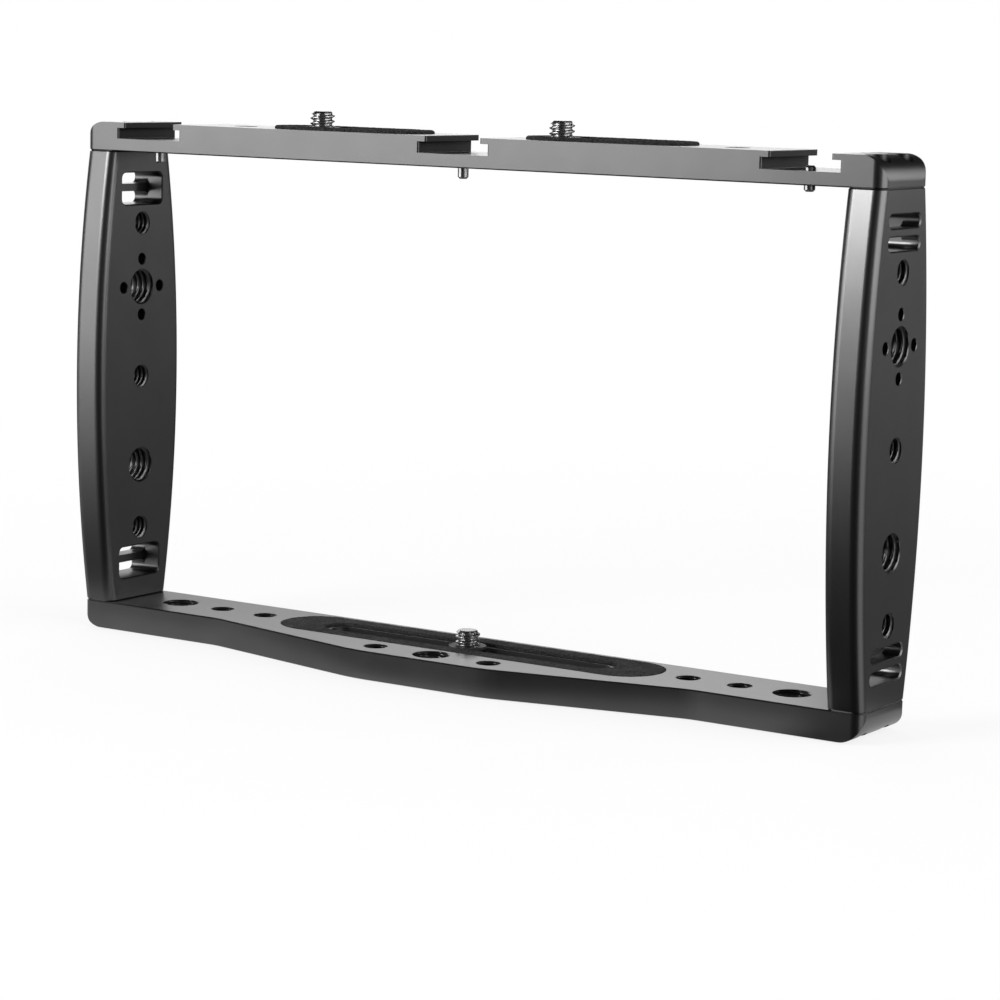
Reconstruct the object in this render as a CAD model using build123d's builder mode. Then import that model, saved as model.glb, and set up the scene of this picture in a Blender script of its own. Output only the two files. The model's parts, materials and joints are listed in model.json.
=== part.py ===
from build123d import *
import os

# A two-handed camera cage: a top bar with three accessory shoes and two sliding screws, a bottom plate
# with a sliding camera screw, and two bowed side handles between them, held by screws at the corners.
# X runs along the bar, Y from front to back and Z up. The origin is in the middle of the camera slot,
# on the underside of the plate. All lengths are in millimetres.

# Frame
frame_width = 220.0
bar_depth = 22.4
bar_thickness = 7.1
plate_thickness = 6.8
handle_length = 113.4
handle_thickness = 9.15
handle_bow = 4.6
end_roll_radius = 5.6
outer_edge_radius = 2.7
inner_edge_radius = 2.4
edge_break = 0.3

# Front flare of the bottom plate
flare_half_width = 67.0
flare_flat_half_width = 18.0
flare_depth = 10.8
flare_root_radius = 20.0
flare_shoulder_radius = 40.0

# Accessory shoes in the top bar
shoe_width = 19.0
shoe_gap = 14.8
shoe_lip = 1.35
shoe_depth = 4.0
shoe_inset = 10.5
shoe_mouth_radius = 0.5

# Stop screws of the shoes
stop_screw_radius = 1.25
stop_screw_length = 5.7
stop_screw_inset = 4.7
stop_screw_point = 0.45
raised_stop_height = 1.1
stop_socket_size = 1.3
stop_socket_depth = 1.4

# Threaded holes: quarter inch and three eighths of an inch, at their major diameter
quarter_radius = 3.175
three_eighths_radius = 4.7625
thread_clearance = 0.025
thread_chamfer = 0.15
bar_hole_inset = 12.0
plate_hole_inset = 13.65
plate_hole_pitch = 13.35
tripod_inset = 6.7
tripod_pitch = 16.0

# Holes and strap slots of the handles
strap_slot_length = 15.4
strap_slot_height = 3.0
strap_end_wall = 5.5
strap_web = 1.9
strap_slot_break = 0.3
strap_pocket_depth = 4.75
strap_pocket_radius = 1.5
strap_hole_gap = 4.7
handle_hole_pitch = 16.0
locating_circle_radius = 7.0
locating_hole_radius = 1.4

# Rubber pads: the two on the bar lie on it, the one on the plate is let into it
pad_thickness = 0.8
pad_edge_break = 0.2
bar_pad_side_margin = 2.7
bar_pad_shoe_gap = 4.9
bar_pad_hole_gap = 11.0
bar_pad_end_wall = 2.6
plate_pad_side_margin = 1.5
plate_pad_hole_gap = 7.3
plate_pad_end_wall = 12.3
plate_pad_recess = 0.65
plate_pad_clearance = 0.05

# Captive screws and their retaining washers
slot_web = 3.2
slot_side_clearance = 0.175
captive_head_radius = 5.2
captive_head_height = 2.7
captive_head_chamfer = 0.4
head_side_clearance = 0.5
neck_radius = 2.5
stud_height = 3.6
stud_point = 0.6
coin_slot_width = 1.5
coin_slot_depth = 1.4
washer_radius = 4.5
washer_thickness = 0.6
washer_bore_clearance = 0.06
washer_side_clearance = 0.4
seat_gap = 0.05
left_screw_inset = 4.7
right_screw_inset = 0.7
camera_screw_x = 0.0

# Corner screws
corner_screw_radius = 1.5
corner_screw_length = 6.0
corner_screw_inset = 5.7
corner_head_radius = 2.75
corner_head_height = 3.0
corner_head_chamfer = 0.3
corner_head_recess = 2.2
corner_head_clearance = 0.15
corner_hole_clearance = 0.2
corner_thread_clearance = 0.05
corner_tap_reserve = 0.4
corner_socket_size = 2.5
corner_socket_depth = 1.6

# How far a length may be off when edges are picked by it
length_tolerance = 1e-4

# Places that follow from these
half_width = frame_width / 2
half_depth = bar_depth / 2
bowed_half_depth = half_depth + handle_bow
bar_bottom = plate_thickness + handle_length
bar_top = bar_bottom + bar_thickness
handle_mid = plate_thickness + handle_length / 2
handle_x = half_width - handle_thickness / 2
handle_inner_x = half_width - handle_thickness

shoe_floor = bar_top - shoe_depth
side_shoe_x = half_width - shoe_inset - shoe_width / 2
shoe_places = {"left": -side_shoe_x, "middle": 0.0, "right": side_shoe_x}
shoe_walls = [x + side * width / 2 for x in shoe_places.values() for side in (-1, 1) for width in (shoe_gap, shoe_width)]
stop_screw_y = stop_screw_inset - half_depth

quarter_hole_radius = quarter_radius + thread_clearance
three_eighths_hole_radius = three_eighths_radius + thread_clearance
stud_radius = quarter_radius - thread_clearance

bar_hole_x = side_shoe_x - shoe_width / 2 - bar_hole_inset
plate_large_hole_x = handle_inner_x - plate_hole_inset
plate_small_hole_x = [plate_large_hole_x - plate_hole_pitch, plate_large_hole_x - 2 * plate_hole_pitch]
tripod_y = tripod_inset - half_depth - flare_depth

upper_strap_slot = handle_length / 2 - strap_end_wall - strap_slot_height / 2
lower_strap_slot = upper_strap_slot - strap_slot_height - strap_web
handle_quarter_hole = lower_strap_slot - strap_slot_height / 2 - strap_hole_gap
strap_pocket_mid = (upper_strap_slot + lower_strap_slot) / 2
strap_pocket_height = 2 * strap_slot_height + strap_web
handle_large_hole = handle_quarter_hole - handle_hole_pitch

window_width = 2 * (washer_radius + washer_side_clearance)
slot_width = 2 * (quarter_radius + slot_side_clearance)
head_slot_width = 2 * (captive_head_radius + head_side_clearance)

bar_pad_start = shoe_width / 2 + bar_pad_shoe_gap
bar_pad_length = bar_hole_x - bar_pad_hole_gap - bar_pad_start
bar_pad_width = bar_depth - 2 * bar_pad_side_margin
bar_pad_x = bar_pad_start + bar_pad_length / 2
bar_travel = bar_pad_length - 2 * bar_pad_end_wall - window_width
plate_pad_length = 2 * (plate_small_hole_x[-1] - plate_pad_hole_gap)
plate_pad_width = bar_depth - 2 * plate_pad_side_margin
plate_travel = plate_pad_length - 2 * plate_pad_end_wall - window_width
plate_deck = plate_thickness - plate_pad_recess

left_screw_x = left_screw_inset - bar_pad_x - bar_travel / 2
right_screw_x = right_screw_inset + bar_pad_x - bar_travel / 2

corner_screw_offset = half_depth - corner_screw_inset
corner_bore_depth = corner_head_height + corner_head_recess


def chamfer_holes(part, radii, size):
    """Break the rims of the round holes that have one of these radii."""
    circles = part.edges().filter_by(GeomType.CIRCLE)
    rims = circles.filter_by(lambda edge: any(abs(edge.radius - r) < length_tolerance for r in radii))
    chamfer(rims, size)


def cut_captive_slot(x, seat_plane, thickness, travel):
    """Cut a screw slot through a plate, with a wider slot for the screw head on the seat plane's side."""
    for width, depth in ((slot_width, thickness), (head_slot_width, thickness - slot_web)):
        with BuildSketch(seat_plane) as slot:
            with Locations((x, 0)):
                SlotCenterToCenter(travel, width)
        extrude(slot.sketch, amount=depth, mode=Mode.SUBTRACT)


def cut_corner_holes(head_plane, thickness):
    """Cut the counterbored holes for the two corner screws at each end, with the heads on this plane."""
    with Locations(head_plane):
        with GridLocations(2 * handle_x, 2 * corner_screw_offset, 2, 2):
            CounterBoreHole(
                corner_screw_radius + corner_hole_clearance,
                corner_head_radius + corner_head_clearance,
                corner_bore_depth,
                thickness,
            )


def make_top_bar():
    """The flat bar over the camera: rolled ends, three shoes with rounded mouths, two screw slots and threaded holes."""
    with BuildPart() as bar:
        with BuildSketch(Plane.XZ) as front:
            with Locations((0, bar_bottom + bar_thickness / 2)):
                Rectangle(frame_width, bar_thickness)
            fillet(front.vertices().group_by(Axis.Y)[-1], end_roll_radius)
        extrude(amount=half_depth, both=True)
        with BuildSketch(Plane.XY.offset(bar_bottom)):
            RectangleRounded(frame_width, bar_depth, outer_edge_radius)
        extrude(amount=bar_thickness, mode=Mode.INTERSECT)
        chamfer(bar.faces().sort_by(Axis.Z)[0].outer_wire().edges(), edge_break)

        with BuildSketch(Plane.XZ):
            for x in shoe_places.values():
                with Locations((x, shoe_floor)):
                    Rectangle(shoe_width, shoe_depth - shoe_lip, align=(Align.CENTER, Align.MIN))
                    Rectangle(shoe_gap, shoe_depth, align=(Align.CENTER, Align.MIN))
        extrude(amount=bar_depth, both=True, mode=Mode.SUBTRACT)
        uprights = bar.edges().filter_by(Axis.Z)
        uprights = uprights.filter_by(lambda edge: abs(abs(edge.center().Y) - half_depth) < length_tolerance)
        mouths = uprights.filter_by(lambda edge: any(abs(edge.center().X - x) < length_tolerance for x in shoe_walls))
        fillet(mouths, shoe_mouth_radius)
        with Locations(*[(x, stop_screw_y, bar_top) for x in shoe_places.values()]):
            Hole(stop_screw_radius + thread_clearance, bar_thickness)

        for x in (-bar_pad_x, bar_pad_x):
            cut_captive_slot(x, Plane.XY.offset(bar_bottom), bar_thickness, bar_travel)
        with Locations((-bar_hole_x, 0, bar_top), (bar_hole_x, 0, bar_top)):
            Hole(quarter_hole_radius, bar_thickness)
        chamfer_holes(bar, [quarter_hole_radius], thread_chamfer)
        cut_corner_holes(Plane.XY.offset(bar_top), bar_thickness)
    return bar


def make_bottom_plate():
    """The plate under the camera: rolled ends, a front flare, the pad's recess, the camera slot and threaded holes."""
    front_y = -half_depth
    flare_y = front_y - flare_depth
    with BuildPart() as plate:
        with BuildSketch(Plane.XY) as plan:
            with BuildLine():
                Polyline(
                    (-half_width, half_depth),
                    (half_width, half_depth),
                    (half_width, front_y),
                    (flare_half_width, front_y),
                    (flare_flat_half_width, flare_y),
                    (-flare_flat_half_width, flare_y),
                    (-flare_half_width, front_y),
                    (-half_width, front_y),
                    close=True,
                )
            make_face()
            ends = plan.vertices().group_by(Axis.X)
            fillet(ends[0] + ends[-1], outer_edge_radius)
            roots = plan.vertices().filter_by(lambda v: abs(abs(v.X) - flare_half_width) < length_tolerance)
            fillet(roots, flare_root_radius)
            fillet(plan.vertices().group_by(Axis.Y)[0], flare_shoulder_radius)
        extrude(amount=plate_thickness)
        with BuildSketch(Plane.XZ) as front:
            with Locations((0, plate_thickness / 2)):
                Rectangle(frame_width, plate_thickness)
            fillet(front.vertices().group_by(Axis.Y)[0], end_roll_radius)
        extrude(amount=bar_depth + flare_depth, both=True, mode=Mode.INTERSECT)
        chamfer(plate.faces().sort_by(Axis.Z)[-1].outer_wire().edges(), edge_break)

        with BuildSketch(Plane.XY.offset(plate_deck)):
            SlotOverall(plate_pad_length + 2 * plate_pad_clearance, plate_pad_width + 2 * plate_pad_clearance)
        extrude(amount=plate_pad_recess, mode=Mode.SUBTRACT)
        cut_captive_slot(0, Plane.XY, plate_deck, plate_travel)
        for x in plate_small_hole_x:
            with Locations((-x, 0, plate_thickness), (x, 0, plate_thickness)):
                Hole(quarter_hole_radius, plate_thickness)
        with Locations((-plate_large_hole_x, 0, plate_thickness), (plate_large_hole_x, 0, plate_thickness)):
            Hole(three_eighths_hole_radius, plate_thickness)
        with Locations((0, tripod_y, plate_thickness)):
            Hole(three_eighths_hole_radius, plate_thickness)
        for x in (-tripod_pitch, tripod_pitch):
            with Locations((x, tripod_y, plate_thickness)):
                Hole(quarter_hole_radius, plate_thickness)
        chamfer_holes(plate, [quarter_hole_radius, three_eighths_hole_radius], thread_chamfer)
        cut_corner_holes(Plane((0, 0, 0), x_dir=(1, 0, 0), z_dir=(0, 0, -1)), plate_thickness)
    return plate


def make_handle(side):
    """A side handle bowed to the front and back, with strap slots that share a pocket on its inner face."""
    outer_plane = Plane.YZ.offset(side * half_width)
    outer, inner = (-1, 0) if side > 0 else (0, -1)
    with BuildPart() as handle:
        with BuildSketch(outer_plane):
            with BuildLine():
                foot = Line((-half_depth, plate_thickness), (half_depth, plate_thickness))
                back = ThreePointArc(foot @ 1, (bowed_half_depth, handle_mid), (half_depth, bar_bottom))
                head = Line(back @ 1, (-half_depth, bar_bottom))
                ThreePointArc(head @ 1, (-bowed_half_depth, handle_mid), foot @ 0)
            make_face()
        extrude(amount=-side * handle_thickness)
        long_edges = handle.edges().filter_by(GeomType.CIRCLE).group_by(Axis.X)
        fillet(long_edges[outer], outer_edge_radius)
        long_edges = handle.edges().filter_by(GeomType.CIRCLE).group_by(Axis.X)
        fillet(long_edges[inner], inner_edge_radius)
        ends = handle.faces().sort_by(Axis.Z)
        chamfer(ends[0].outer_wire().edges() + ends[-1].outer_wire().edges(), edge_break)

        with BuildSketch(outer_plane):
            for z in (upper_strap_slot, lower_strap_slot, -lower_strap_slot, -upper_strap_slot):
                with Locations((0, handle_mid + z)):
                    SlotOverall(strap_slot_length, strap_slot_height)
        extrude(amount=-side * handle_thickness, mode=Mode.SUBTRACT)
        with BuildSketch(Plane.YZ.offset(side * handle_inner_x)):
            with Locations((0, handle_mid - strap_pocket_mid), (0, handle_mid + strap_pocket_mid)):
                RectangleRounded(strap_slot_length, strap_pocket_height, strap_pocket_radius)
        extrude(amount=side * strap_pocket_depth, mode=Mode.SUBTRACT)
        flats = handle.faces().filter_by(Axis.X).sort_by(Axis.X)
        rims = flats[0].inner_wires() + flats[-1].inner_wires()
        chamfer(rims.edges(), strap_slot_break)

        with BuildSketch(outer_plane):
            for z in (handle_quarter_hole, 0, -handle_quarter_hole):
                with Locations((0, handle_mid + z)):
                    Circle(quarter_hole_radius)
            for z in (handle_large_hole, -handle_large_hole):
                with Locations((0, handle_mid + z)):
                    Circle(three_eighths_hole_radius)
            with Locations((0, handle_mid + handle_large_hole)):
                with PolarLocations(locating_circle_radius, 4):
                    Circle(locating_hole_radius)
        extrude(amount=-side * handle_thickness, mode=Mode.SUBTRACT)
        chamfer_holes(handle, [quarter_hole_radius, three_eighths_hole_radius, locating_hole_radius], thread_chamfer)

        tap_radius = corner_screw_radius + corner_thread_clearance
        for end_plane, thickness in (
            (Plane.XY.offset(bar_bottom), bar_thickness),
            (Plane((0, 0, plate_thickness), x_dir=(1, 0, 0), z_dir=(0, 0, -1)), plate_thickness),
        ):
            reach = corner_screw_length - (thickness - corner_bore_depth)
            with Locations(end_plane):
                for y in (-corner_screw_offset, corner_screw_offset):
                    with Locations((side * handle_x, y)):
                        Hole(tap_radius, reach + corner_tap_reserve)
    return handle


def make_pad(x, seat_z, length, width, travel):
    """A flat rubber pad with round ends and a window in which the screw and its washer slide."""
    with BuildPart() as pad:
        with BuildSketch(Plane.XY.offset(seat_z)):
            with Locations((x, 0)):
                SlotOverall(length, width)
                SlotCenterToCenter(travel, window_width, mode=Mode.SUBTRACT)
        extrude(amount=pad_thickness)
        chamfer(pad.faces().sort_by(Axis.Z)[-1].outer_wire().edges(), pad_edge_break)
    return pad


def make_captive_screw(x, seat_z):
    """A stud with a flat head under its slot, a neck that its washer holds, and a coin slot in the head."""
    head_top = seat_z - seat_gap
    head_bottom = head_top - captive_head_height
    washer_top = seat_z + slot_web + seat_gap + washer_thickness
    stud_bottom = washer_top + seat_gap
    stud_top = seat_z + slot_web + pad_thickness + stud_height
    with BuildPart() as screw:
        with BuildSketch(Plane.XY.offset(head_bottom)):
            with Locations((x, 0)):
                Circle(captive_head_radius)
        extrude(amount=captive_head_height)
        chamfer(screw.edges().group_by(Axis.Z)[0], captive_head_chamfer)
        with BuildSketch(Plane.XY.offset(head_top)):
            with Locations((x, 0)):
                Circle(neck_radius)
        extrude(amount=stud_bottom - head_top)
        with BuildSketch(Plane.XY.offset(stud_bottom)):
            with Locations((x, 0)):
                Circle(stud_radius)
        extrude(amount=stud_top - stud_bottom)
        chamfer(screw.edges().group_by(Axis.Z)[-1], stud_point)
        with BuildSketch(Plane.XY.offset(head_bottom)):
            with Locations((x, 0)):
                Rectangle(coin_slot_width, 2 * captive_head_radius)
        extrude(amount=coin_slot_depth, mode=Mode.SUBTRACT)
    return screw


def make_washer(x, seat_z):
    """The washer that keeps a captive screw in its slot, lying on the web in the pad's window."""
    with BuildPart() as washer:
        with BuildSketch(Plane.XY.offset(seat_z + slot_web + seat_gap)):
            with Locations((x, 0)):
                Circle(washer_radius)
                Circle(neck_radius + washer_bore_clearance, mode=Mode.SUBTRACT)
        extrude(amount=washer_thickness)
    return washer


def make_stop_screw(x, top_z):
    """A small set screw in the floor of a shoe, with bevelled ends and a hex socket underneath."""
    bottom_z = top_z - stop_screw_length
    with BuildPart() as screw:
        with BuildSketch(Plane.XY.offset(bottom_z)):
            with Locations((x, stop_screw_y)):
                Circle(stop_screw_radius)
        extrude(amount=stop_screw_length)
        chamfer(screw.edges().filter_by(GeomType.CIRCLE), stop_screw_point)
        with BuildSketch(Plane.XY.offset(bottom_z)):
            with Locations((x, stop_screw_y)):
                RegularPolygon(stop_socket_size / 2, 6, major_radius=False)
        extrude(amount=stop_socket_depth, mode=Mode.SUBTRACT)
    return screw


def make_corner_screw(x, y, head_z, up):
    """A socket head screw whose head points up or down from the plane at head_z."""
    seat_plane = Plane((x, y, head_z - up * corner_bore_depth), x_dir=(1, 0, 0), z_dir=(0, 0, up))
    with BuildPart() as screw:
        with BuildSketch(seat_plane):
            Circle(corner_head_radius)
        extrude(amount=corner_head_height)
        rim = screw.edges().group_by(Axis.Z)[-1 if up > 0 else 0]
        chamfer(rim, corner_head_chamfer)
        with BuildSketch(seat_plane):
            Circle(corner_screw_radius)
        extrude(amount=-corner_screw_length)
        with BuildSketch(seat_plane.offset(corner_head_height)):
            RegularPolygon(corner_socket_size / 2, 6, major_radius=False)
        extrude(amount=-corner_socket_depth, mode=Mode.SUBTRACT)
    return screw


bar_seat = bar_top - slot_web
plate_seat = plate_deck - slot_web
pieces = {
    "top_bar": make_top_bar(),
    "bottom_plate": make_bottom_plate(),
    "left_handle": make_handle(-1),
    "right_handle": make_handle(1),
    "left_top_pad": make_pad(-bar_pad_x, bar_top, bar_pad_length, bar_pad_width, bar_travel),
    "right_top_pad": make_pad(bar_pad_x, bar_top, bar_pad_length, bar_pad_width, bar_travel),
    "bottom_pad": make_pad(0, plate_deck, plate_pad_length, plate_pad_width, plate_travel),
    "left_top_screw": make_captive_screw(left_screw_x, bar_seat),
    "left_top_washer": make_washer(left_screw_x, bar_seat),
    "right_top_screw": make_captive_screw(right_screw_x, bar_seat),
    "right_top_washer": make_washer(right_screw_x, bar_seat),
    "camera_screw": make_captive_screw(camera_screw_x, plate_seat),
    "camera_washer": make_washer(camera_screw_x, plate_seat),
}
for place, x in shoe_places.items():
    lift = raised_stop_height if place == "right" else 0.0
    pieces[f"{place}_shoe_stop_screw"] = make_stop_screw(x, shoe_floor + lift)
for level, head_z, up in (("top", bar_top, 1), ("bottom", 0.0, -1)):
    for side, x in (("left", -handle_x), ("right", handle_x)):
        for depth, y in (("front", -corner_screw_offset), ("back", corner_screw_offset)):
            pieces[f"{level}_{side}_{depth}_screw"] = make_corner_screw(x, y, head_z, up)

os.makedirs("parts", exist_ok=True)
for name, piece in pieces.items():
    piece.part.label = name
    export_step(piece.part, f"parts/{name}.step")
    print(name, round(piece.part.volume, 1), "mm3")
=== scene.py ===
# %% [markdown]
# # A two-handed camera cage
#
# The object is an open frame of black anodised aluminium that is held with both hands. A flat bar with three
# accessory shoes lies on top, a plate lies below, and two bowed handles stand between them. The rigid pieces
# come ready-made, at their true size and place, in metres, with +X along the bar, +Y to the back and +Z up.
# This lesson adds what makes them look real: cut threads, grained rubber, finishes, a camera and a studio.

# %% Load the frame
import json

import bmesh
import bpy
import numpy as np
from mathutils import Matrix, Vector


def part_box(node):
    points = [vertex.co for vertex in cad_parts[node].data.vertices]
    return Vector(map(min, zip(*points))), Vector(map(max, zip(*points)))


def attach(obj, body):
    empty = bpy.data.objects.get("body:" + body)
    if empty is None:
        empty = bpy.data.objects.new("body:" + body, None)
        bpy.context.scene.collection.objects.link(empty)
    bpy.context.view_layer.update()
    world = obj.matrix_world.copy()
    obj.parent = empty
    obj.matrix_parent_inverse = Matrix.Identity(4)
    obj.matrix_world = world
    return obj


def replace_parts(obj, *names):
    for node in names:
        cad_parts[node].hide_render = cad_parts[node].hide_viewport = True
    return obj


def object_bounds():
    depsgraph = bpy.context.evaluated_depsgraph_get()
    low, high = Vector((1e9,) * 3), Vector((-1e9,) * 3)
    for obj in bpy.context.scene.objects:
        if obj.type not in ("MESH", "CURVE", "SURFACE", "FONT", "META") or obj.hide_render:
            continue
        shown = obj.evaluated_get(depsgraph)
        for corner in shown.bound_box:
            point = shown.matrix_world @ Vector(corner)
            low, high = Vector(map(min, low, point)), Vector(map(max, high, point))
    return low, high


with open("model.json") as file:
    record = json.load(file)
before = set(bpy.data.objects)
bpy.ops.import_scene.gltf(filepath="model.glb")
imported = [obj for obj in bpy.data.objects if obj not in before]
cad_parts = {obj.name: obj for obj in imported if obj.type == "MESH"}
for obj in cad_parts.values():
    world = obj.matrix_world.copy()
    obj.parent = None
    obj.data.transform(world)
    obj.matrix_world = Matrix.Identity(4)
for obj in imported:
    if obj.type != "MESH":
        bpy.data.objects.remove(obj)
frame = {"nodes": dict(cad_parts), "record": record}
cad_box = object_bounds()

MM = 0.001
nodes = frame["nodes"]
print(len(nodes), "rigid pieces, box", [[round(value, 4) for value in corner] for corner in cad_box])

# %% [markdown]
# ## The camera
#
# A picture is matched from the camera outwards. The eye stands to the right of the cage, a little above its
# top bar, and looks slightly down. A long lens keeps the near and the far handle almost the same size. The
# three directions of the view are worked out from yaw, pitch and a small roll, and become the columns of the
# camera's matrix, which says more plainly than a chain of rotations where the camera points.

# %% Place the camera
image_width = 1000
sensor_width = 36.0
focal_length_in_pixels = 3136.8
eye = np.array([405.0, -613.2, 147.7]) * MM
yaw, pitch, roll = np.radians([32.907, 8.191, -1.438])

forward = np.array([-np.sin(yaw) * np.cos(pitch), np.cos(yaw) * np.cos(pitch), -np.sin(pitch)])
level_right = np.array([np.cos(yaw), np.sin(yaw), 0.0])
level_down = np.cross(forward, level_right)
right = np.cos(roll) * level_right + np.sin(roll) * level_down
down = np.cos(roll) * level_down - np.sin(roll) * level_right

camera_data = bpy.data.cameras.new("studio_camera")
camera_data.sensor_width = sensor_width
camera_data.lens = focal_length_in_pixels / image_width * sensor_width
camera = bpy.data.objects.new("studio_camera", camera_data)
camera_matrix = np.eye(4)
camera_matrix[:3, :] = np.column_stack([right, -down, -forward, eye])
camera.matrix_world = Matrix(camera_matrix.tolist())
bpy.context.scene.collection.objects.link(camera)
bpy.context.scene.camera = camera
bpy.context.scene.view_settings.view_transform = "Standard"
print("lens", round(camera_data.lens, 2), "mm")

# %% [markdown]
# ## Helpers for node trees
#
# Every finish below is a small tree of shader nodes. Two short helpers keep the trees readable: one adds a
# node and fills in its sockets by name, the other joins two sockets. Numbers that are the same all over a
# surface are set on the shader itself, and only what varies over the surface arrives through a link.


# %% Add nodes and links
def add_node(tree, kind, settings=None, **inputs):
    """Add a node, set its own settings, and set its input sockets by name, with _ for a space."""
    node = tree.nodes.new(kind)
    for key, value in (settings or {}).items():
        setattr(node, key, value)
    for key, value in inputs.items():
        node.inputs[key.replace("_", " ")].default_value = value
    return node


def join(tree, source, target):
    """Link an output socket to an input socket."""
    tree.links.new(source, target)


def new_material(name):
    """A material with an empty Principled shader. Returns the material, its tree and the shader."""
    material = bpy.data.materials.new(name)
    material.use_nodes = True
    tree = material.node_tree
    return material, tree, tree.nodes["Principled BSDF"]


print("helpers ready")

# %% [markdown]
# ## The studio
#
# Black metal has almost no colour of its own: what the eye sees on it is the room. So the studio is planned
# as a set of things to be mirrored. To the camera the room is plain white. In mirrors it is pale behind the
# cage, dark around the camera and dark overhead, which puts a dark core into every bright screw and a black
# top on the rounded end of the bar. The world only turns a direction into a brightness, so no picture is
# needed, and matt surfaces get the same soft light from all around.


# %% Nodes that work on directions and numbers
def direction(azimuth, elevation):
    """Unit vector to a place in the room. Azimuth 0 is straight in front, and grows to the right."""
    a, e = np.radians([azimuth, elevation])
    return np.array([np.sin(a) * np.cos(e), -np.cos(a) * np.cos(e), np.sin(e)])


def smooth_ramp(tree, value, start, end, low=0.0, high=1.0):
    """Low where the value is below start, high where it is above end, smoothly between."""
    ramp = add_node(tree, "ShaderNodeMapRange", {"interpolation_type": "SMOOTHSTEP"})
    for name, number in (("From Min", start), ("From Max", end), ("To Min", low), ("To Max", high)):
        ramp.inputs[name].default_value = number
    join(tree, value, ramp.inputs["Value"])
    return ramp.outputs["Result"]


def vector_math(tree, operation, source, other=None):
    """A vector math node on a socket and a fixed second vector. Puts out a number or a vector."""
    node = add_node(tree, "ShaderNodeVectorMath", {"operation": operation})
    join(tree, source, node.inputs[0])
    if other is not None:
        node.inputs[1].default_value = other
    is_number = operation in ("DOT_PRODUCT", "LENGTH", "DISTANCE")
    return node.outputs["Value" if is_number else "Vector"]


def number_math(tree, operation, first, second=0.0):
    """A math node on a socket and a second socket or number."""
    node = add_node(tree, "ShaderNodeMath", {"operation": operation})
    join(tree, first, node.inputs[0])
    if isinstance(second, float):
        node.inputs[1].default_value = second
    else:
        join(tree, second, node.inputs[1])
    return node.outputs["Value"]


def sector(tree, rays, azimuth, outer, inner):
    """1 where a level ray is within the inner angle of an azimuth, 0 beyond the outer angle."""
    cosine = vector_math(tree, "DOT_PRODUCT", rays, direction(azimuth, 0))
    return smooth_ramp(tree, cosine, np.cos(np.radians(outer)), np.cos(np.radians(inner)))


def mix_colours(tree, factor, first, second):
    """Mix two colours, each a socket or a grey value, by a socket."""
    mix = add_node(tree, "ShaderNodeMix", {"data_type": "RGBA"})
    join(tree, factor, mix.inputs["Factor"])
    for socket, value in ((mix.inputs[6], first), (mix.inputs[7], second)):
        if isinstance(value, float):
            socket.default_value = (value, value, value, 1.0)
        else:
            join(tree, value, socket)
    return mix.outputs[2]


print("room helpers ready")

# %% Surroundings
mirrored_walls = 0.19
mirrored_front = 0.03
mirrored_ceiling = 0.01
soft_light = 0.5
ceiling_start, ceiling_end = np.sin(np.radians([14, 20.4]))

world = bpy.data.worlds.new("studio_world")
bpy.context.scene.world = world
world.use_nodes = True
room = world.node_tree
rays = add_node(room, "ShaderNodeTexCoord").outputs["Generated"]
path = add_node(room, "ShaderNodeLightPath")
front = sector(room, rays, azimuth=2.5, outer=34, inner=21)
height = vector_math(room, "DOT_PRODUCT", rays, (0, 0, 1))
overhead = smooth_ramp(room, height, ceiling_start, ceiling_end)
walls = mix_colours(room, front, mirrored_walls, mirrored_front)
walls = mix_colours(room, overhead, walls, mirrored_ceiling)
unseen = mix_colours(room, path.outputs["Is Glossy Ray"], soft_light, walls)
seen = number_math(room, "MAXIMUM", path.outputs["Is Camera Ray"], path.outputs["Is Transmission Ray"])
backdrop = mix_colours(room, seen, unseen, 1.0)
join(room, backdrop, room.nodes["Background"].inputs["Color"])
print("world", world.name)

# %% [markdown]
# ## Lamps
#
# Five soft lamps stand round the cage. A small bright one and a broad dim one at the front left grade the
# front faces from light at the top to dark at the bottom. A large one at the right draws the light line along
# the rounded edges. Two low ones behind whiten the tops, which are seen at a grazing angle, and lay the
# bright band on the rounded end of the bar. A lamp's brightness is given as what a perfect mirror would show.


# %% Softboxes
def softbox(name, azimuth, elevation, distance, width, height, brightness):
    """A rectangular lamp that looks at the middle of the cage. Power is brightness times pi times area."""
    middle = (np.array(cad_box[0]) + np.array(cad_box[1])) / 2
    towards = direction(azimuth, elevation)
    data = bpy.data.lights.new(name, "AREA")
    data.shape = "RECTANGLE"
    data.size = width
    data.size_y = height
    data.energy = brightness * np.pi * width * height
    lamp = bpy.data.objects.new(name, data)
    lamp.rotation_mode = "QUATERNION"
    lamp.rotation_quaternion = Vector(-towards).to_track_quat("-Z", "Y")
    lamp.location = middle + towards * distance
    lamp.visible_camera = False
    bpy.context.scene.collection.objects.link(lamp)


# Name, azimuth and elevation in degrees, distance, width and height in metres, brightness
lamps = [
    ("front_key", -27.8, 23.8, 0.90, 0.395, 0.331, 14.0),
    ("front_fill", -42.1, 5.6, 0.90, 0.677, 0.308, 2.95),
    ("right_strip", 93.3, 21, 0.80, 0.806, 0.602, 3.3),
    ("back_left", -130.2, 20.2, 0.65, 0.758, 0.279, 2.0),
    ("back_right", 141, 16.4, 0.65, 0.126, 0.264, 3.4),
]
for lamp in lamps:
    softbox(*lamp)
print("lamps", [light.name for light in bpy.data.lights])

# %% [markdown]
# ## The floor
#
# The cage stands on a pale disc. To the camera the disc is mostly a plain white glow, so that it melts into
# the white room, and the rest is a matt surface that still takes the soft shadow. Mirrors see cards on it
# instead, as photographers lay them just outside the picture. A black card in front keeps the rounded edges
# black and brightens far out to the left. A light strip lies before the plate, dim cards lie behind, and light
# ones beside the right end. Each card is a smooth ramp along x, along y, by the distance from the cage's right
# end or by the heading from there.

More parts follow.
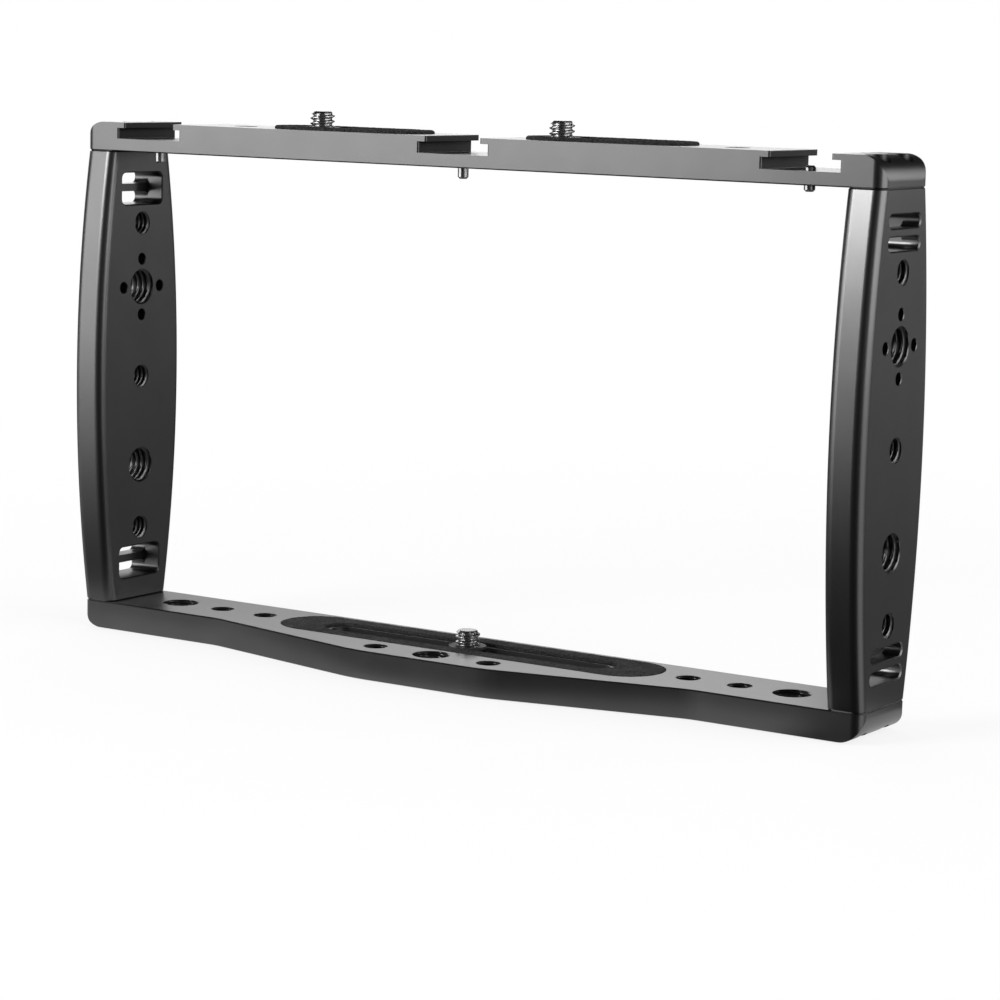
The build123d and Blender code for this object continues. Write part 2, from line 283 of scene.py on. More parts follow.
# %% Floor disc
floor_radius = 1.5
floor_level = -0.3 * MM
angle = np.linspace(0, 2 * np.pi, 96, endpoint=False)
rim = np.column_stack([np.cos(angle), np.sin(angle), 0 * angle]) * floor_radius + [0, 0, floor_level]
floor_mesh = bpy.data.meshes.new("studio_floor")
floor_mesh.from_pydata(rim.tolist(), [], [list(range(len(angle)))])
floor = bpy.data.objects.new("studio_floor", floor_mesh)
bpy.context.scene.collection.objects.link(floor)
print("stage", floor.name)


# %% Cards that mirrors see
black_card = 0.02
far_left_card = 0.95
strip_before_plate = 0.60
left_back_cards = (0.20, 0.05)
right_back_cards = (0.19, 0.51)
right_card = 0.91
card_under_end = 0.76
right_end = (110 * MM, -10 * MM, 0.0)
end_card_middle = (112 * MM, 10 * MM, 0.0)

# Where each ramp starts and ends
front_fade = (180 * MM, 560 * MM)
strip_front = (-36 * MM, -24 * MM)
strip_end = (82 * MM, 99 * MM)
left_back_fade = (200 * MM, 320 * MM)
right_back_fade = (93 * MM, 1280 * MM)
left_to_right = (-9 * MM, 91 * MM)
front_to_back = (-12 * MM, 12 * MM)
end_card_rim = (9 * MM, 27 * MM)


def mirrored_cards(tree, place):
    """Brightness of the floor in mirrors, by smooth ramps. Later cards lie on top of earlier ones."""
    parts = add_node(tree, "ShaderNodeSeparateXYZ")
    join(tree, place, parts.inputs[0])
    x, y = parts.outputs["X"], parts.outputs["Y"]
    from_end = vector_math(tree, "SUBTRACT", place, right_end)
    away = vector_math(tree, "LENGTH", from_end)
    heading = vector_math(tree, "NORMALIZE", from_end)
    front = smooth_ramp(tree, away, *front_fade, black_card, far_left_card)
    front = mix_colours(tree, sector(tree, heading, azimuth=-75, outer=55, inner=40), black_card, front)
    before_plate = smooth_ramp(tree, x, *strip_end, strip_before_plate, black_card)
    front = mix_colours(tree, smooth_ramp(tree, y, *strip_front), front, before_plate)
    left_back = smooth_ramp(tree, y, *left_back_fade, *left_back_cards)
    right_back = smooth_ramp(tree, away, *right_back_fade, *right_back_cards)
    back = mix_colours(tree, smooth_ramp(tree, x, *left_to_right), left_back, right_back)
    cards = mix_colours(tree, smooth_ramp(tree, y, *front_to_back), front, back)
    cards = mix_colours(tree, sector(tree, heading, azimuth=85.5, outer=33, inner=16), cards, right_card)
    under_end = vector_math(tree, "DISTANCE", place, end_card_middle)
    return mix_colours(tree, smooth_ramp(tree, under_end, *end_card_rim), card_under_end, cards)


print("cards ready")

# %% Floor paint
glow_near_cage = 0.82
glow_fade = (150 * MM, 500 * MM)

floor_paint, tree, paint = new_material("pale_floor")
paint.inputs["Base Color"].default_value = (0.8, 0.8, 0.8, 1)
paint.inputs["Roughness"].default_value = 0.9
place = add_node(tree, "ShaderNodeTexCoord").outputs["Object"]
path = add_node(tree, "ShaderNodeLightPath")
glow = add_node(tree, "ShaderNodeEmission", Strength=1.0)
glow_colour = mix_colours(tree, path.outputs["Is Glossy Ray"], 1.0, mirrored_cards(tree, place))
join(tree, glow_colour, glow.inputs["Color"])
share = smooth_ramp(tree, vector_math(tree, "LENGTH", place), *glow_fade, glow_near_cage, 1.0)
share = mix_colours(tree, path.outputs["Is Camera Ray"], 0.0, share)
share = mix_colours(tree, path.outputs["Is Glossy Ray"], share, 1.0)
share = mix_colours(tree, path.outputs["Is Transmission Ray"], share, 1.0)
blend = add_node(tree, "ShaderNodeMixShader")
join(tree, share, blend.inputs[0])
join(tree, paint.outputs["BSDF"], blend.inputs[1])
join(tree, glow.outputs["Emission"], blend.inputs[2])
join(tree, blend.outputs["Shader"], tree.nodes["Material Output"].inputs["Surface"])
floor_mesh.materials.append(floor_paint)
print("paint", floor_paint.name)

# %% [markdown]
# ## Grain, shared by the finishes
#
# Bead-blasted and anodised metal, moulded rubber and turned steel all have a fine, even grain. One node group
# makes it: two sizes of noise on the object's own coordinates, put out as a mask for colour and roughness and
# as a height for bump. Each finish places the group with its own grain size, so the effect is built once.


# %% Grain node group
def make_grain_group():
    """Noise of two sizes on object coordinates. Puts out a 0 to 1 mask of each size."""
    group = bpy.data.node_groups.new("surface_grain", "ShaderNodeTree")
    group.interface.new_socket("Fine Size", in_out="INPUT", socket_type="NodeSocketFloat")
    group.interface.new_socket("Cloud Size", in_out="INPUT", socket_type="NodeSocketFloat")
    group.interface.new_socket("Fine", in_out="OUTPUT", socket_type="NodeSocketFloat")
    group.interface.new_socket("Cloud", in_out="OUTPUT", socket_type="NodeSocketFloat")
    entry = group.nodes.new("NodeGroupInput")
    leave = group.nodes.new("NodeGroupOutput")
    place = add_node(group, "ShaderNodeTexCoord")
    for name in ("Fine", "Cloud"):
        scale = add_node(group, "ShaderNodeMath", {"operation": "DIVIDE"})
        scale.inputs[0].default_value = 1.0
        join(group, entry.outputs[name + " Size"], scale.inputs[1])
        noise = add_node(group, "ShaderNodeTexNoise", Detail=2.0, Roughness=0.6)
        join(group, place.outputs["Object"], noise.inputs["Vector"])
        join(group, scale.outputs["Value"], noise.inputs["Scale"])
        join(group, noise.outputs["Fac"], leave.inputs[name])
    return group


grain_group = make_grain_group()


def add_grain(tree, fine_size, cloud_size):
    """Place the grain group, with sizes in metres. Returns the sockets of its fine and its cloudy mask."""
    node = add_node(tree, "ShaderNodeGroup", {"node_tree": grain_group})
    node.inputs["Fine Size"].default_value = fine_size
    node.inputs["Cloud Size"].default_value = cloud_size
    return node.outputs["Fine"], node.outputs["Cloud"]


def spread(tree, mask, low, high):
    """A value that runs from low to high as a noise mask runs over its middle, from 0.3 to 0.7."""
    ramp = add_node(tree, "ShaderNodeMapRange")
    for name, value in (("From Min", 0.3), ("From Max", 0.7), ("To Min", low), ("To Max", high)):
        ramp.inputs[name].default_value = value
    join(tree, mask, ramp.inputs["Value"])
    return ramp.outputs["Result"]


def add_bump(tree, shader, height, depth, strength):
    """Bump the shader's normal by a height socket, with the depth in metres."""
    bump = add_node(tree, "ShaderNodeBump", Strength=strength, Distance=depth)
    join(tree, height, bump.inputs["Height"])
    join(tree, bump.outputs["Normal"], shader.inputs["Normal"])


print("group", grain_group.name)

# %% [markdown]
# ## Finishes
#
# The frame is bead-blasted aluminium with a black dye under a clear oxide skin. It mirrors like a metal but
# gives back only about a tenth of the light when seen straight on, and nearly all of it at a grazing look.
# A metallic shader with a very dark base colour does exactly that. The screws are polished steel, the pads
# moulded rubber, the hidden washers nylon and the corner screws blackened steel. In the shoe channels, where
# shade falls, the bar gets the same finish with painted shade: a mask that makes it nearly black and rough
# there.


# %% Mask of painted shade in the shoe channels
side_shoe_x = 90 * MM
shoe_half_width = 9.5 * MM
shoe_floor = 123.3 * MM
bar_half_depth = 11.2 * MM
bar_top = 127.3 * MM


def mix_numbers(tree, factor, first, second):
    """Mix a socket with a number by a socket."""
    mix = add_node(tree, "ShaderNodeMix", {"data_type": "FLOAT"}, B=second)
    join(tree, factor, mix.inputs["Factor"])
    join(tree, first, mix.inputs["A"])
    return mix.outputs["Result"]


# Painted shade: this mask marks the recessed shoe channels, where the bar is painted nearly black.
def in_shoes(tree):
    """1 on the walls of the three shoe channels, 0 outside: boxes about x = 0 and about both side shoes.

    The mask ends just outside the walls, and just inside the bar's front, back and top and over the floors."""
    place = add_node(tree, "ShaderNodeSeparateXYZ")
    join(tree, add_node(tree, "ShaderNodeTexCoord").outputs["Object"], place.inputs[0])
    along = number_math(tree, "ABSOLUTE", place.outputs["X"])
    beside = number_math(tree, "ABSOLUTE", number_math(tree, "SUBTRACT", along, side_shoe_x))
    nearest = number_math(tree, "MINIMUM", along, beside)
    across = number_math(tree, "ABSOLUTE", place.outputs["Y"])
    height = place.outputs["Z"]
    limits = [
        smooth_ramp(tree, nearest, shoe_half_width + 0.03 * MM, shoe_half_width + 0.08 * MM, 1.0, 0.0),
        smooth_ramp(tree, across, bar_half_depth - 0.5 * MM, bar_half_depth - 0.05 * MM, 1.0, 0.0),
        smooth_ramp(tree, height, shoe_floor + 0.02 * MM, shoe_floor + 0.1 * MM),
        smooth_ramp(tree, height, bar_top - 0.2 * MM, bar_top - 0.05 * MM, 1.0, 0.0),
    ]
    mask = limits[0]
    for limit in limits[1:]:
        mask = number_math(tree, "MULTIPLY", mask, limit)
    return mask


print("side shoes at", round(side_shoe_x / MM), "mm")

# %% Metals and rubbers
# Painted shade: in the shoe channels the bar is made nearly black and rough, where shade falls in the recess.
channel_shade_colour = 0.045
channel_shade_roughness = 0.6


def metal(name, dark, light, roughness, fine_size, cloud_size, bump_depth, painted_shade=None):
    """A metal that varies a little with the grain. Where the painted_shade mask is 1 it is nearly black and
    rough, as painted shade.
    """
    material, tree, shader = new_material(name)
    shader.inputs["Metallic"].default_value = 1.0
    fine, cloud = add_grain(tree, fine_size, cloud_size)
    colour = mix_colours(tree, spread(tree, cloud, 0.0, 1.0), dark, light)
    rough = spread(tree, fine, *roughness)
    if painted_shade:
        mask = painted_shade(tree)
        colour = mix_colours(tree, mask, colour, channel_shade_colour)
        rough = mix_numbers(tree, mask, rough, channel_shade_roughness)
    join(tree, colour, shader.inputs["Base Color"])
    join(tree, rough, shader.inputs["Roughness"])
    add_bump(tree, shader, fine, bump_depth, strength=0.35)
    return material


def rubber(name, dark, light, roughness, fine_size, cloud_size, bump_depth):
    """A moulded black rubber or plastic with a fine pebbled skin."""
    material, tree, shader = new_material(name)
    shader.inputs["Specular IOR Level"].default_value = 0.15
    fine, cloud = add_grain(tree, fine_size, cloud_size)
    join(tree, mix_colours(tree, spread(tree, fine, 0.0, 1.0), dark, light), shader.inputs["Base Color"])
    join(tree, spread(tree, cloud, *roughness), shader.inputs["Roughness"])
    add_bump(tree, shader, fine, bump_depth, strength=0.8)
    return material


# Darkest and lightest colour, roughness from and to, sizes of the grain and of the clouds, depth of the bump
anodising = (0.105, 0.115, (0.28, 0.32), 0.12 * MM, 14 * MM, 0.001 * MM)
finishes = {
    "black_anodised": metal("black_anodised", *anodising),
    "bright_steel": metal("bright_steel", 0.34, 0.40, (0.22, 0.30), 0.10 * MM, 3 * MM, 0.002 * MM),
    "black_steel": metal("black_steel", 0.05, 0.07, (0.28, 0.38), 0.15 * MM, 4 * MM, 0.004 * MM),
    "pad_rubber": rubber("pad_rubber", 0.002, 0.040, (0.75, 0.95), 0.45 * MM, 6 * MM, 0.05 * MM),
    "black_nylon": rubber("black_nylon", 0.020, 0.028, (0.45, 0.55), 0.25 * MM, 5 * MM, 0.01 * MM),
}
# The bar's material, with painted shade in its three shoe channels.
bar_shaded_finish = metal("bar_with_painted_shade", *anodising, painted_shade=in_shoes)
print("finishes", sorted(finishes), bar_shaded_finish.name)

# %% Finish the ready-made pieces
for part in frame["record"]["subparts"]:
    node = nodes[part["node"]]
    node.data.materials.clear()
    node.data.materials.append(finishes[part["material_slot"]])
nodes["top_bar"].data.materials[0] = bar_shaded_finish

# %% [markdown]
# ## Surfaces on a grid
#
# The new pieces are grids: row i and column j of an array hold one point of the surface, and each small
# square of the grid becomes a face. A grid that is wrapped both ways is a closed ring, and one whose first
# and last rows shrink to a point is closed too, once the doubled points are merged. Numpy computes all the
# points at once, and Blender takes the two arrays as they are.


# %% Turn grids into pieces
merge_distance = 0.0005 * MM


def grid_faces(rows, columns, close_rows):
    """Corner numbers of every square of a grid that is closed along its columns, and if asked along its rows."""
    last = rows if close_rows else rows - 1
    i, j = np.meshgrid(np.arange(last), np.arange(columns), indexing="ij")
    below = (i + 1) % rows
    beside = (j + 1) % columns
    corners = [i * columns + j, i * columns + beside, below * columns + beside, below * columns + j]
    return np.stack(corners, axis=-1).reshape(-1, 4)


def dress_piece(name, mesh, body, slot, finish=None):
    """Give a mesh its finish, put it in the scene and let it ride on a body."""
    mesh.materials.clear()
    mesh.materials.append(finish or finishes[slot])
    piece = bpy.data.objects.new(name, mesh)
    bpy.context.scene.collection.objects.link(piece)
    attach(piece, body)
    print(name, len(mesh.polygons), "faces")
    return piece


def make_piece(name, grids, body, slot, sharp_angle=35, close_rows=False):
    """Join grids of points into one mesh, merge its doubles, turn its faces outwards and let it ride."""
    points, faces, start = [], [], 0
    for grid in grids:
        rows, columns = grid.shape[:2]
        points.append(grid.reshape(-1, 3))
        faces.append(grid_faces(rows, columns, close_rows) + start)
        start += rows * columns
    mesh = bpy.data.meshes.new(name)
    mesh.from_pydata(np.concatenate(points).tolist(), [], np.concatenate(faces).tolist())
    tidy = bmesh.new()
    tidy.from_mesh(mesh)
    bmesh.ops.remove_doubles(tidy, verts=tidy.verts, dist=merge_distance)
    bmesh.ops.recalc_face_normals(tidy, faces=tidy.faces)
    tidy.to_mesh(mesh)
    tidy.free()
    mesh.shade_smooth()
    mesh.set_sharp_from_angle(angle=np.radians(sharp_angle))
    return dress_piece(name, mesh, body, slot)


print("piece makers ready")

# %% [markdown]
# ## Cut threads in the holes
#
# The small holes take 1/4 inch screws with 20 turns to the inch, the large ones 3/8 inch screws with 16. A
# thread is a ridge that climbs one pitch in each turn, so its radius depends on one number only: the height
# in pitches less the angle in turns. At both mouths the ridge starts from a clean round rim, where a small
# countersink cuts the crest away and the groove is still shallow.
# Each thread is a closed ring that lines its hole. The places come from the record's own list of mounts.

# %% Thread shape
inch = 25.4 * MM
quarter_pitch = inch / 20
three_eighths_pitch = inch / 16
crest_flat = 0.20
root_flat = 0.20
rounding = 0.4
lining_height = 0.54
lining_backing = 0.01 * MM
largest_quarter_radius = 4 * MM
mouth_wall = 0.30 * MM
mouth_chamfer = 0.15 * MM
rows_per_pitch = 16
columns_per_turn = 72


def ridge(turns):
    """1 on the crest of a thread and 0 in its root: a trapezium wave of period 1 with its corners rounded."""
    from_crest = np.abs((turns + 0.5) % 1.0 - 0.5)
    flank = 0.5 - (crest_flat + root_flat) / 2
    rise = np.clip((0.5 - root_flat / 2 - from_crest) / flank, 0.0, 1.0)
    return rise * (1 - rounding) + rise * rise * (3 - 2 * rise) * rounding


def thread_lining(centre, axis, radius, length):
    """A ring in a hole. Inner radius: the hole's less the ridge, and at the mouths between 45 degree cones."""
    pitch = quarter_pitch if radius < largest_quarter_radius else three_eighths_pitch
    depth = lining_height * pitch
    rows = int(np.ceil(length / pitch * rows_per_pitch))
    along = np.linspace(-length / 2, length / 2, rows)
    angle = np.linspace(0, 2 * np.pi, columns_per_turn, endpoint=False)
    turns = along[:, None] / pitch - angle[None, :] / (2 * np.pi)
    inside = (length / 2 - np.abs(along))[:, None]
    mouth = radius - mouth_wall
    inner = np.clip(radius - depth * ridge(turns), mouth - inside, mouth + inside)
    wall = radius + np.array([mouth_chamfer, lining_backing, lining_backing, mouth_chamfer])
    reach = np.concatenate([inner, np.repeat(wall[:, None], len(angle), axis=1)])
    shoulder = length / 2 - mouth_chamfer
    height = np.concatenate([along, [length / 2, shoulder, -shoulder, -length / 2]])[:, None] + 0 * reach
    first, second = (k for k in range(3) if k != axis)
    grid = np.empty(reach.shape + (3,))
    grid[..., axis] = height
    grid[..., first] = reach * np.cos(angle)
    grid[..., second] = reach * np.sin(angle)
    return grid + centre


print("1/4 inch pitch", round(quarter_pitch / MM, 3), "mm")


# %% Line the holes
def hole_centres(mount):
    """The middles of a mount's holes: the mount's own place, or half the spacing to both sides of it."""
    place = np.array(mount["pos_m"])
    axis = int(np.argmax(np.abs(mount["axis"])))
    first, second = (k for k in range(3) if k != axis)
    offset = np.zeros(3)
    offset[first] = mount["dims"].get("spacing_x_mm", 0.0) * MM / 2
    offset[second] = mount["dims"].get("spacing_y_mm", 0.0) * MM / 2
    return [place + offset, place - offset] if offset.any() else [place], axis


skin = 0.003 * MM
linings = {name: [] for name in ("top_bar", "bottom_plate", "left_handle", "right_handle")}
for mount in frame["record"]["mounts"]:
    if mount["kind"] not in ("threaded_hole", "bolt_pattern") or "pcd_mm" in mount["dims"]:
        continue
    radius = mount["dims"].get("r_mm", mount["dims"].get("hole_r_mm")) * MM
    centres, axis = hole_centres(mount)
    for centre in centres:
        for name in linings:
            low, high = (np.array(corner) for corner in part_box(name))
            if np.all(centre > low - MM) and np.all(centre < high + MM):
                centre[axis] = (low[axis] + high[axis]) / 2
                length = high[axis] - low[axis] - 2 * skin
                linings[name].append(thread_lining(centre, axis, radius, length))
for name, grids in linings.items():
    make_piece(name + "_threads", grids, "frame", "black_anodised", close_rows=True)

# %% [markdown]
# ## The sliding screws
#
# Each screw is a turned piece: a flat head with a coin slot, a thin neck that its washer holds, and a short
# 1/4 inch stud. All of it is one grid. Going along the rows walks the outline from the middle of the head to
# the middle of the stud's tip. The stud's rows follow the ridge, and the tip cuts the ridge off as a cone.
# The coin slot is a few columns of the grid whose lowest rows are lifted to the slot's floor.

# %% Captive screws
head_radius = 5.2 * MM
head_height = 2.7 * MM
head_chamfer = 0.4 * MM
neck_radius = 2.5 * MM
stud_radius = 2.95 * MM
stud_tip = 0.8 * MM
stud_length = 3.7 * MM
coin_slot_width = 1.5 * MM
coin_slot_depth = 1.4 * MM
steps_in_slot, steps_beside_slot = 5, 34
head_rows, stud_rows = 8, 44
stud_groove = 0.5 * quarter_pitch


def slot_columns(radius):
    """Angles of the columns on a circle: two runs inside the coin slot, which lies along Y, and two outside."""
    half = np.arcsin(np.minimum(1.0, coin_slot_width / 2 / np.maximum(radius, 1e-9)))
    quarter = np.pi / 2
    runs = [
        (quarter - half, quarter + half, steps_in_slot),
        (quarter + half, 3 * quarter - half, steps_beside_slot),
        (3 * quarter - half, 3 * quarter + half, steps_in_slot),
        (3 * quarter + half, 5 * quarter - half, steps_beside_slot),
    ]
    angles = np.concatenate([np.linspace(start, end, count) for start, end, count in runs])
    inside = np.concatenate([np.full(count, k % 2 == 0) for k, (_, _, count) in enumerate(runs)])
    return angles, inside


def captive_screw(name, body):
    """The screw's outline, row by row, as radius and height, turned about its own axis."""
    low, high = (np.array(corner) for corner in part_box(name))
    x, y = (low[:2] + high[:2]) / 2
    bottom, top = low[2], high[2]
    head_top = bottom + head_height
    stud_start = top - stud_length
    rows = [(0.0, bottom)]
    rows += [(r, bottom) for r in np.linspace(coin_slot_width / 2, head_radius - head_chamfer, head_rows)]
    rows += [(head_radius, bottom + head_chamfer), (head_radius, bottom + coin_slot_depth)]
    rows += [(head_radius, head_top), (neck_radius, head_top), (neck_radius, stud_start)]
    rows += [(stud_radius, z) for z in np.linspace(stud_start, top, stud_rows)]
    rows += [(0.0, top)]
    grid = []
    for radius, z in rows:
        angle, inside = slot_columns(radius)
        reach = np.full(len(angle), radius)
        if radius == stud_radius:
            turns = (z - stud_start) / quarter_pitch - angle / (2 * np.pi)
            reach = stud_radius - stud_groove * (1 - ridge(turns))
            reach = np.minimum(reach, stud_radius - stud_tip + (top - z))
        level = np.where(inside, np.maximum(z, bottom + coin_slot_depth), z)
        grid.append(np.column_stack([x + reach * np.cos(angle), y + reach * np.sin(angle), level]))
    piece = make_piece(name + "_turned", [np.array(grid)], body, "bright_steel")
    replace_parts(piece, name)


for place in ("left_top", "right_top", "camera"):
    captive_screw(place + "_screw", place + "_screw")

# %% [markdown]
# ## The rubber pads
#
# A pad is a flat ring: a long round-ended strip with a round-ended window for the screw. Each row of its grid
# is a stadium, two half circles and two straight runs, and the rows go from the window's edge under the pad,
# round the outer edge and back over the top. The top rows carry a fine pebble relief, because rubber that is
# seen along its surface shows its grain on the skyline, where a painted bump would stay straight.

# %% Grained pads
window_radius = 4.9 * MM
pad_break = 0.35 * MM
pad_relief = 0.14 * MM
pad_grain = 0.4 * MM


def stadium(straight, radius, arc_steps, straight_steps):
    """A closed outline: right half circle, upper run, left half circle, lower run."""
    turn = np.linspace(-np.pi / 2, np.pi / 2, arc_steps, endpoint=False)
    run = np.linspace(straight / 2, -straight / 2, straight_steps, endpoint=False)
    right_end = np.column_stack([straight / 2 + radius * np.cos(turn), radius * np.sin(turn)])
    upper = np.column_stack([run, np.full(straight_steps, radius)])
    return np.concatenate([right_end, upper, -right_end, -upper])


def rubber_pad(name, end_wall, seed):
    """Rows from the window's lower edge round the rim and back over the top, with pebbles on the top rows."""
    low, high = (np.array(corner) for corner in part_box(name))
    length, width, thickness = high - low
    window_straight = length - 2 * end_wall - 2 * window_radius
    outer = (length - width, width / 2)
    inner = (window_straight, window_radius)
    arc_steps = int(np.pi * outer[1] / pad_grain)
    straight_steps = int(outer[0] / pad_grain)
    pebbles = np.random.default_rng(seed)
    rows = [(inner, 0.0, 0), (outer, 0.0, 0), (outer, thickness - pad_break, 0)]
    rim = (outer[0], outer[1] - pad_break)
    lip = (inner[0], inner[1] + pad_break / 2)
    top_rows = int((rim[1] - lip[1]) / pad_grain) + 2
    for share in np.linspace(0, 1, top_rows):
        shape = tuple(np.array(rim) * (1 - share) + np.array(lip) * share)
        rows.append((shape, thickness, 1))
    rows.append((inner, thickness - pad_break / 2, 0))
    centre = (low[:2] + high[:2]) / 2
    grid = []
    for (straight, radius), z, grained in rows:
        outline = stadium(straight, radius, arc_steps, straight_steps) + centre
        drop = pebbles.random(len(outline)) ** 2 * pad_relief * grained
        grid.append(np.column_stack([outline, low[2] + z - drop]))
    piece = make_piece(name + "_grained", [np.array(grid)], "frame", "pad_rubber", close_rows=True)
    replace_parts(piece, name)


bar_pad_end_wall = 2.6 * MM
plate_pad_end_wall = 12.3 * MM
rubber_pad("left_top_pad", bar_pad_end_wall, seed=1)
rubber_pad("right_top_pad", bar_pad_end_wall, seed=2)
rubber_pad("bottom_pad", plate_pad_end_wall, seed=3)

# %% [markdown]
# ## Smoother handles
#
# The long edges of a handle are rounded while the handle itself is bowed. On such a doubly curved surface the
# facets of the ready-made mesh show as ripples and small glints. So each handle is copied, the faces of its
# bowed front and back and of its rounded edges are divided, and all their points are put on the true surface
# by formula, which also gives the way out of the surface there, for even shading. The bow is part of a large
# circle, so the formula works with the distance from that circle's middle. The flat faces, holes and slots
# stay as they are.

# %% The bow as a formula
handle_bow = 4.6 * MM
outer_edge_radius = 2.7 * MM
inner_edge_radius = 2.4 * MM


def bow_of(points, low, high):
    """Points from the handle's middle, their distances from the bow's centre, and the bow's radius."""
    half_width, half_depth, half_length = (high - low) / 2
    bow_radius = (half_length**2 + handle_bow**2) / (2 * handle_bow)
    x, y, z = (np.array(points) - (low + high) / 2).T
    from_axis = np.abs(y) + bow_radius - half_depth
    return x, y, z, from_axis, np.hypot(from_axis, z), bow_radius


def away_from(first, second):
    """Unit vectors along two coordinates, as two arrays."""
    length = np.maximum(np.hypot(first, second), 1e-9)
    return first / length, second / length


def on_bow(points, low, high):
    """The nearest points of the true surface and the ways out of it there.

    A point beside the bowed face goes to a circle about the nearer edge's centre line, any other to the bow."""
    half_width, half_depth, _ = (high - low) / 2
    middle = (low + high) / 2
    x, y, z, from_axis, from_bow_centre, bow_radius = bow_of(points, low, high)
    radius = np.where(x * middle[0] > 0, outer_edge_radius, inner_edge_radius)
    across = np.maximum(np.abs(x) - (half_width - radius), 0.0)
    beyond = np.where(across > 0, np.maximum(from_bow_centre - (bow_radius - radius), 0.0), radius)
    across_way, bow_way = away_from(across, beyond)
    x_on = np.where(across > 0, np.sign(x) * (half_width - radius + radius * across_way), x)
    stretch = (bow_radius - radius + radius * bow_way) / from_bow_centre
    y_on = np.sign(y) * (from_axis * stretch - bow_radius + half_depth)
    places = np.column_stack([x_on, y_on, z * stretch]) + middle
    y_way, z_way = away_from(from_axis, z)
    ways = np.column_stack([np.sign(x) * across_way, np.sign(y) * bow_way * y_way, bow_way * z_way])
    return places, ways


print("bow", round(handle_bow / MM, 1), "mm")

# %% Refine the handles
end_chamfer = 0.3 * MM
off_surface = 0.05 * MM
flat_share = 0.9999
cuts_per_edge = 3
crease_angle = 30


def is_bowed(face, low, high):
    """True for faces of the bowed front and back and of the rounded edges, not for holes, ends or flat sides."""
    _, _, z, _, from_bow_centre, bow_radius = bow_of([corner.co for corner in face.verts], low, high)
    outside = from_bow_centre.min() > bow_radius - outer_edge_radius - off_surface
    between_ends = np.abs(z).max() < (high[2] - low[2]) / 2 - end_chamfer / 2
    return outside and between_ends and abs(face.normal.x) < flat_share


def divided_copy(name, low, high):
    """A copy of a handle with its bowed faces divided, and marked by a material number of 1."""
    tidy = bmesh.new()
    tidy.from_mesh(nodes[name].data)
    bmesh.ops.remove_doubles(tidy, verts=tidy.verts, dist=merge_distance)
    tidy.normal_update()
    for face in tidy.faces:
        face.smooth = True
        face.material_index = int(is_bowed(face, low, high))
    edges = {edge for face in tidy.faces if face.material_index for edge in face.edges}
    bmesh.ops.subdivide_edges(tidy, edges=list(edges), cuts=cuts_per_edge, use_grid_fill=True)
    tidy.normal_update()
    for edge in tidy.edges:
        marks = {face.material_index for face in edge.link_faces}
        edge.smooth = len(marks) == 1 and edge.calc_face_angle(np.pi) < np.radians(crease_angle)
    mesh = bpy.data.meshes.new(name + "_smooth")
    tidy.to_mesh(mesh)
    tidy.free()
    return mesh


def read(items, attribute, kind=float):
    """An attribute of all items as an array, with one number or one vector for each."""
    width = np.size(getattr(items[0], attribute))
    values = np.empty(len(items) * width, kind)
    items.foreach_get(attribute, values)
    return values.reshape(-1, width) if width > 1 else values


def smooth_handle(name):
    """Divide a handle's bowed faces, and put their points and their normals on the true surface."""
    low, high = (np.array(corner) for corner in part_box(name))
    mesh = divided_copy(name, low, high)
    bowed = np.repeat(read(mesh.polygons, "material_index", int), read(mesh.polygons, "loop_total", int)) == 1
    bowed_points = read(mesh.loops, "vertex_index", int)[bowed]
    places = read(mesh.vertices, "co")
    places[bowed_points], ways = on_bow(places[bowed_points], low, high)
    mesh.vertices.foreach_set("co", places.ravel())
    mesh.polygons.foreach_set("material_index", np.zeros(len(mesh.polygons), int))
    mesh.update()
    normals = read(mesh.corner_normals, "vector")
    normals[bowed] = ways
    mesh.normals_split_custom_set(normals.tolist())
    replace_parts(dress_piece(name + "_smooth", mesh, "frame", "black_anodised"), name)


smooth_handle("left_handle")
smooth_handle("right_handle")

# %% [markdown]
# ## Crisp rolled ends
#
# At both ends of the bar and of the plate an upright rounded corner meets the rolled end in a curved crease.
# The ready-made mesh blends the two surfaces there, because they meet at a shallow angle. A copy with the
# normals of true cylinders keeps the crease sharp: corners point away from their upright axis, rolls away from
# their level axis, and flat faces stay flat right up to their edges.

# %% Join loose triangles
same_place = 0.0001 * MM


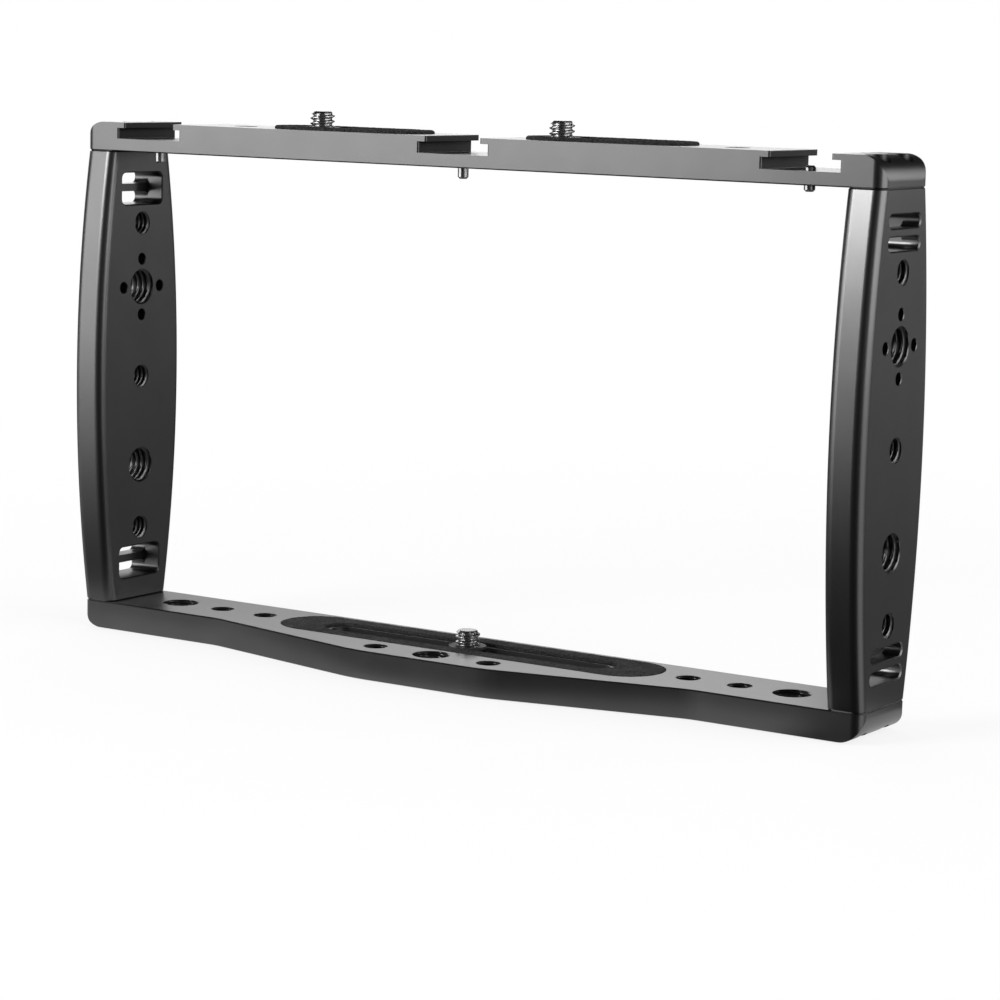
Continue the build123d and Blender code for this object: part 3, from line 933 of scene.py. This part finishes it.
def joined_copy(source, name):
    """A copy of loose triangles whose corners share points, and the normal at each corner, in the same order."""
    points = read(source.vertices, "co")
    corners = read(source.loops, "vertex_index", int)
    cells = np.round(points / same_place).astype(int)
    _, first, number = np.unique(cells, axis=0, return_index=True, return_inverse=True)
    mesh = bpy.data.meshes.new(name)
    mesh.from_pydata(points[first].tolist(), [], number.reshape(-1)[corners].reshape(-1, 3).tolist())
    mesh.shade_smooth()
    return mesh, read(source.corner_normals, "vector")


print("corners closer than", same_place / MM, "mm are one point")

# %% Normals of true cylinders
roll_radius = 5.6 * MM
level_share = 0.02
edge_margin = 0.01 * MM


def crisp_ends(name, outer, finish=None):
    """Copy a bar. Corners get normals away from their upright axis, rolls away from their level axis.

    Outer is 1 where the rolls are at the top and -1 where they are at the bottom."""
    low, high = (np.array(corner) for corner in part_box(name))
    half_width, half_depth = high[:2]
    roll_height = high[2] - roll_radius if outer > 0 else low[2] + roll_radius
    mesh, normals = joined_copy(nodes[name].data, name + "_crisp")
    normals = normals.reshape(-1, 3, 3)
    facing = read(mesh.polygons, "normal")
    triangles = read(mesh.loops, "vertex_index", int).reshape(-1, 3)
    x, y, z = read(mesh.vertices, "co")[triangles].transpose(2, 0, 1)
    from_corner = np.abs(x) - (half_width - outer_edge_radius), np.abs(y) - (half_depth - outer_edge_radius)
    from_roll = np.abs(x) - (half_width - roll_radius), (z - roll_height) * outer
    off_roll = np.abs(np.hypot(*from_roll) - roll_radius).max(axis=1)
    flat = np.abs(facing).max(axis=1) > flat_share
    on_corner = (np.minimum(*from_corner).min(axis=1) > -edge_margin) & (np.abs(facing[:, 2]) < level_share)
    on_roll = (np.minimum(*from_roll).min(axis=1) > -edge_margin) & (np.abs(facing[:, 1]) < level_share)
    on_corner &= ~flat
    on_roll &= ~flat & ~on_corner & (off_roll < off_surface)
    across, along = away_from(*from_corner)
    normals[on_corner] = np.stack([np.sign(x) * across, np.sign(y) * along, 0 * z], axis=-1)[on_corner]
    across, up = away_from(*from_roll)
    normals[on_roll] = np.stack([np.sign(x) * across, 0 * y, outer * up], axis=-1)[on_roll]
    normals[flat] = facing[flat][:, None]
    mesh.normals_split_custom_set(normals.reshape(-1, 3).tolist())
    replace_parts(dress_piece(name + "_crisp", mesh, "frame", "black_anodised", finish), name)
    print(np.count_nonzero(on_corner | on_roll), "curved faces")


crisp_ends("top_bar", 1, bar_shaded_finish)
crisp_ends("bottom_plate", -1)
